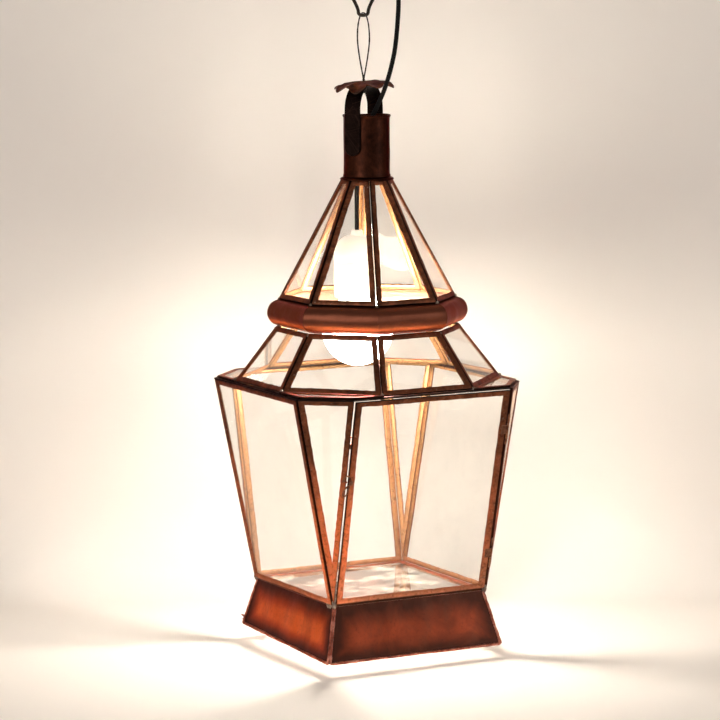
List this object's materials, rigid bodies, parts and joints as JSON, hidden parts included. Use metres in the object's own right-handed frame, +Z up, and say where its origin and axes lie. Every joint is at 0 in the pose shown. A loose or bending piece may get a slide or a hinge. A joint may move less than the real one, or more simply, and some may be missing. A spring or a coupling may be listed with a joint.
{
  "type": "hanging lantern",
  "caption": "Copper and glass hanging lantern: tapered glazed body with a door, skirt and cone roofs, plinth, lampholder and bulb, on a chain with its flex and ceiling fitting.",
  "frame": {"origin": "middle of the ceiling face, between the bracket's two screw holes and straight above the hanging point", "axes": "+Z up, -Y out of the lantern's door, +X towards the door's hinges"},
  "size_m": [0.2237, 0.228, 0.6715],
  "materials": {
    "copper_sheet": "copper sheet, heat-browned and polished in the middle of each panel",
    "copper_bead": "copper wire bead with tin solder, rubbed bright",
    "copper_came": "folded copper channel, aged brown with a satin sheen",
    "copper_bolster": "half-round copper, dark brown with a polished lower side",
    "copper_top": "copper, oxidised dark brown",
    "clear_glass": "thin clear window glass",
    "brass_fittings": "copper wire and sheet, aged",
    "dark_steel": "blackened steel",
    "wire": "dark iron wire",
    "rose_metal": "painted copper brown, satin",
    "white_plastic": "white moulded plastic",
    "bulb_cap_metal": "rolled aluminium thread",
    "opal_glass": "opal white glass, lit",
    "flex_sheath": "black round flex, matte",
    "black_plastic": "black plastic",
    "terminal_plastic": "translucent white plastic"
  },
  "bodies": {
    "ceiling_fitting": {"ceiling_rose": "rose_metal", "ceiling_bracket": "dark_steel", "ceiling_hook": "dark_steel", "hook_nuts": "dark_steel", "flex_bush": "black_plastic", "terminal_block": "terminal_plastic", "flex_top": "flex_sheath"},
    "link": {"chain_link": "dark_steel", "flex_middle": "flex_sheath"},
    "loop": {"wire_loop": "wire"},
    "lantern": {"rosette": "copper_top", "strap_handle": "dark_steel", "neck_tube": "copper_top", "neck_collar": "copper_top", "flex_grip": "black_plastic", "flex_low": "flex_sheath", "cone_frames": "copper_came", "cone_glass": "clear_glass", "bolster": "copper_bolster", "skirt_frames": "copper_came", "skirt_glass": "clear_glass", "shelf_frames": "copper_came", "shelf_glass": "clear_glass", "top_rim": "copper_came", "pane_frame_right": "copper_came", "pane_glass_right": "clear_glass", "pane_frame_back": "copper_came", "pane_glass_back": "clear_glass", "pane_frame_left": "copper_came", "pane_glass_left": "clear_glass", "corner_frames": "copper_came", "corner_glass": "clear_glass", "floor_frame": "copper_came", "floor_glass": "clear_glass", "plinth_panels": "copper_sheet", "plinth_foot_bead": "copper_bead", "plinth_seams": "copper_bead", "hinge_knuckles_fixed": "brass_fittings", "hinge_pins": "brass_fittings", "latch_catch": "brass_fittings", "door_stop": "brass_fittings"},
    "door": {"door_frame": "copper_came", "door_glass": "clear_glass", "hinge_knuckles_door": "brass_fittings", "latch_rivet": "brass_fittings"},
    "latch": {"latch_hook": "brass_fittings"},
    "lamp": {"lamp_lead": "black_plastic", "holder_cap": "white_plastic", "holder_shell": "white_plastic", "holder_insert": "white_plastic", "bulb_cap": "bulb_cap_metal", "bulb_glass": "opal_glass"}
  },
  "joints": [
    {"name": "link_swing", "type": "hinge", "parent": "ceiling_fitting", "child": "link", "pos_m": [0, 0, -0.0612], "axis": [0, 1, 0], "range_deg": [-20, 20], "deforming": ["flex_top", "flex_middle"]},
    {"name": "loop_swing", "type": "hinge", "parent": "link", "child": "loop", "pos_m": [0, 0, -0.1172], "axis": [1, 0, 0], "range_deg": [-20, 20]},
    {"name": "lantern_swivel", "type": "hinge", "parent": "loop", "child": "lantern", "pos_m": [0, 0, -0.178], "axis": [0, 0, 1], "range_deg": [-60, 60], "deforming": ["flex_low"]},
    {"name": "door_hinge", "type": "hinge", "parent": "lantern", "child": "door", "pos_m": [0.07737, -0.07945, -0.62141], "axis": [0.0296, -0.1968, 0.98], "range_deg": [0, 115]},
    {"name": "latch_pivot", "type": "hinge", "parent": "door", "child": "latch", "pos_m": [-0.06971, -0.10276, -0.5112], "axis": [0, 0.9804, 0.1968], "range_deg": [0, 45]},
    {"name": "lamp_swing", "type": "hinge", "parent": "lantern", "child": "lamp", "pos_m": [-0.00631, 0.00207, -0.2603], "axis": [0, 1, 0], "range_deg": [-6, 6]}
  ]
}
